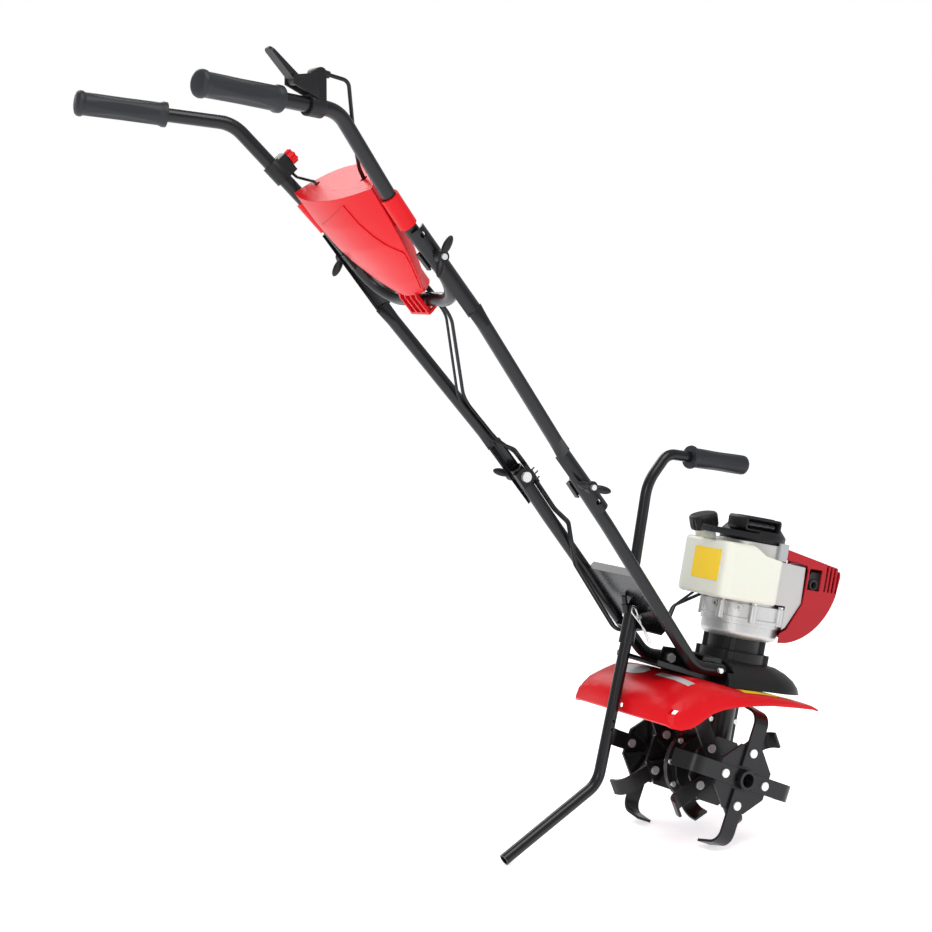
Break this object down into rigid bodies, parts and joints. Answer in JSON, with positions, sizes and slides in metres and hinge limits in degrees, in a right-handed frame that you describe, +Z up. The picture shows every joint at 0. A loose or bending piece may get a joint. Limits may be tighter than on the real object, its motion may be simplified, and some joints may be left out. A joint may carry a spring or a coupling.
{
  "type": "mini tiller",
  "caption": "Petrol mini tiller with bent tine rotors under a red guard, upright engine, worm gearbox, drag stake, carry handle and a folding black tube handle.",
  "frame": {"origin": "on the ground, below the middle of the bounding box", "axes": "+X is the way it drives, +Y its left side, +Z up"},
  "size_m": [1.1202, 0.4048, 1.1021],
  "materials": {
    "gearcase_right": "satin black",
    "gearcase_left": "satin black",
    "bearings": "ground",
    "fasteners": "zinc plated",
    "frame_bracket": "satin black",
    "fender": "gloss red",
    "drive_skirt": "matt black",
    "clutch_housing": "matt black",
    "crankcase_cover": "cast",
    "cylinder_block": "cast",
    "spark_plug": "plated",
    "muffler": "heat-proof black",
    "engine_cover": "dark red",
    "heat_shroud": "plain",
    "cover_latch": "grey",
    "fuel_tank": "milky white",
    "recoil_housing": "matt black",
    "carburettor": "die cast",
    "air_cleaner": "matt black",
    "lower_tubes": "black powder coat",
    "cross_plate": "black powder coat",
    "drag_stake": "black powder coat",
    "carry_handle": "black powder coat",
    "carry_grip": "charcoal",
    "lower_joint_hardware": "zinc plated",
    "control_cables_lower": "black sheath",
    "worm_shaft": "hardened",
    "clutch_drum": "plain",
    "tine_axle": "ground",
    "worm_wheel": "bronze",
    "tine_hubs": "satin black",
    "tine_blades": "satin black",
    "tine_rivets": "zinc plated",
    "crankshaft": "ground",
    "flywheel": "cast",
    "clutch_shoes": "plain",
    "starter_pulley": "matt black",
    "starter_grip": "gloss black",
    "starter_rope": "braided",
    "fuel_cap": "matt black",
    "hitch_clip": "zinc plated",
    "throttle_arm": "plated",
    "middle_tubes": "black powder coat",
    "control_cables_middle": "black sheath",
    "cables_bend_lower": "black sheath",
    "upper_handle": "black powder coat",
    "handle_grips": "charcoal",
    "console_front": "gloss red",
    "console_rear": "gloss red",
    "upper_joint_hardware": "zinc plated",
    "throttle_housing": "matt black",
    "switch_housing": "matt black",
    "control_cables_upper": "black sheath",
    "cables_bend_upper": "black sheath",
    "throttle_lever": "matt black",
    "switch_knob": "gloss red",
    "wing_nut_upper_right": "matt black",
    "wing_nut_upper_left": "matt black",
    "wing_nut_lower_right": "matt black",
    "wing_nut_lower_left": "matt black"
  },
  "bodies": {
    "chassis": {"gearcase_right": "gearcase_right", "gearcase_left": "gearcase_left", "bearings": "bearings", "fasteners": "fasteners", "frame_bracket": "frame_bracket", "fender": "fender", "drive_skirt": "drive_skirt", "clutch_housing": "clutch_housing", "crankcase_cover": "crankcase_cover", "cylinder_block": "cylinder_block", "spark_plug": "spark_plug", "muffler": "muffler", "engine_cover": "engine_cover", "heat_shroud": "heat_shroud", "cover_latch": "cover_latch", "fuel_tank": "fuel_tank", "recoil_housing": "recoil_housing", "carburettor": "carburettor", "air_cleaner": "air_cleaner", "lower_tubes": "lower_tubes", "cross_plate": "cross_plate", "drag_stake": "drag_stake", "carry_handle": "carry_handle", "carry_grip": "carry_grip", "lower_joint_hardware": "lower_joint_hardware", "control_cables_lower": "control_cables_lower"},
    "worm": {"worm_shaft": "worm_shaft", "clutch_drum": "clutch_drum"},
    "rotor": {"tine_axle": "tine_axle", "worm_wheel": "worm_wheel", "tine_hubs": "tine_hubs", "tine_blades": "tine_blades", "tine_rivets": "tine_rivets"},
    "crank": {"crankshaft": "crankshaft", "flywheel": "flywheel", "clutch_shoes": "clutch_shoes"},
    "starter_pulley": {"starter_pulley": "starter_pulley"},
    "starter_grip": {"starter_grip": "starter_grip", "starter_rope": "starter_rope"},
    "fuel_cap": {"fuel_cap": "fuel_cap"},
    "hitch_clip": {"hitch_clip": "hitch_clip"},
    "throttle_arm": {"throttle_arm": "throttle_arm"},
    "handle_middle": {"middle_tubes": "middle_tubes", "control_cables_middle": "control_cables_middle", "cables_bend_lower": "cables_bend_lower"},
    "handle_upper": {"upper_handle": "upper_handle", "handle_grips": "handle_grips", "console_front": "console_front", "console_rear": "console_rear", "upper_joint_hardware": "upper_joint_hardware", "throttle_housing": "throttle_housing", "switch_housing": "switch_housing", "control_cables_upper": "control_cables_upper", "cables_bend_upper": "cables_bend_upper"},
    "throttle_lever": {"throttle_lever": "throttle_lever"},
    "switch_knob": {"switch_knob": "switch_knob"},
    "wing_nut_upper_right": {"wing_nut_upper_right": "wing_nut_upper_right"},
    "wing_nut_upper_left": {"wing_nut_upper_left": "wing_nut_upper_left"},
    "wing_nut_lower_right": {"wing_nut_lower_right": "wing_nut_lower_right"},
    "wing_nut_lower_left": {"wing_nut_lower_left": "wing_nut_lower_left"}
  },
  "joints": [
    {"name": "worm_drive", "type": "hinge", "parent": "chassis", "child": "worm", "pos_m": [0.36222, 0, 0.09528], "axis": [0.2079, 0, 0.9781], "continuous": true},
    {"name": "rotor_spin", "type": "hinge", "parent": "chassis", "child": "rotor", "pos_m": [0.32896, 0, 0.10235], "axis": [0, 1, 0], "continuous": true},
    {"name": "crank_spin", "type": "hinge", "parent": "chassis", "child": "crank", "pos_m": [0.41212, 0, 0.33003], "axis": [0.2079, 0, 0.9781], "continuous": true},
    {"name": "starter_pull", "type": "slide", "parent": "chassis", "child": "starter_grip", "axis": [0, -1, 0], "range_m": [0, 0.45], "stiffness_N_per_m": 25, "springref_m": -0.2, "deforming": ["starter_rope"]},
    {"name": "starter_pulley_turn", "type": "hinge", "parent": "chassis", "child": "starter_pulley", "pos_m": [0.43831, 0, 0.45328], "axis": [0.2079, 0, 0.9781], "range_deg": [0, 1440]},
    {"name": "fuel_cap_turn", "type": "hinge", "parent": "chassis", "child": "fuel_cap", "pos_m": [0.35849, 0.016, 0.43845], "axis": [-0.1736, 0, 0.9848], "range_deg": [0, 360]},
    {"name": "hitch_clip_pull", "type": "slide", "parent": "chassis", "child": "hitch_clip", "axis": [-0.4067, 0, 0.9135], "range_m": [0, 0.024]},
    {"name": "throttle_arm_turn", "type": "hinge", "parent": "chassis", "child": "throttle_arm", "pos_m": [0.49242, 0.074, 0.3375], "axis": [0.2079, 0, 0.9781], "range_deg": [0, 40]},
    {"name": "middle_fold", "type": "hinge", "parent": "chassis", "child": "handle_middle", "pos_m": [0.06696, 0, 0.54035], "axis": [0, 1, 0], "range_deg": [0, 95], "deforming": ["cables_bend_lower"]},
    {"name": "upper_fold", "type": "hinge", "parent": "handle_middle", "child": "handle_upper", "pos_m": [-0.19183, 0, 0.85317], "axis": [0, 1, 0], "range_deg": [0, 130], "deforming": ["cables_bend_upper"]},
    {"name": "throttle_squeeze", "type": "hinge", "parent": "handle_upper", "child": "throttle_lever", "pos_m": [-0.41161, -0.1531, 1.06413], "axis": [0, -1, 0], "range_deg": [0, 32], "stiffness_Nm_per_rad": 0.6, "springref_deg": -28.65},
    {"name": "switch_turn", "type": "hinge", "parent": "handle_upper", "child": "switch_knob", "pos_m": [-0.27785, 0.12662, 0.98279], "axis": [0.7466, 0, 0.6652], "range_deg": [0, 60]},
    {"name": "wing_nut_upper_right_turn", "type": "hinge", "parent": "handle_upper", "child": "wing_nut_upper_right", "pos_m": [-0.19183, -0.13, 0.85317], "axis": [0, -1, 0], "range_deg": [0, 360]},
    {"name": "wing_nut_upper_left_turn", "type": "hinge", "parent": "handle_upper", "child": "wing_nut_upper_left", "pos_m": [-0.19183, 0.13, 0.85317], "axis": [0, 1, 0], "range_deg": [0, 360]},
    {"name": "wing_nut_lower_right_turn", "type": "hinge", "parent": "chassis", "child": "wing_nut_lower_right", "pos_m": [0.06696, -0.097, 0.54035], "axis": [0, -1, 0], "range_deg": [0, 360]},
    {"name": "wing_nut_lower_left_turn", "type": "hinge", "parent": "chassis", "child": "wing_nut_lower_left", "pos_m": [0.06696, 0.097, 0.54035], "axis": [0, 1, 0], "range_deg": [0, 360]}
  ],
  "couplings": [
    {"joint": "rotor_spin", "follows": "worm_drive", "ratio": 0.04},
    {"joint": "starter_pulley_turn", "follows": "starter_pull", "rad_per_m": 55.556},
    {"joint": "throttle_arm_turn", "follows": "throttle_squeeze", "ratio": 1.25}
  ]
}
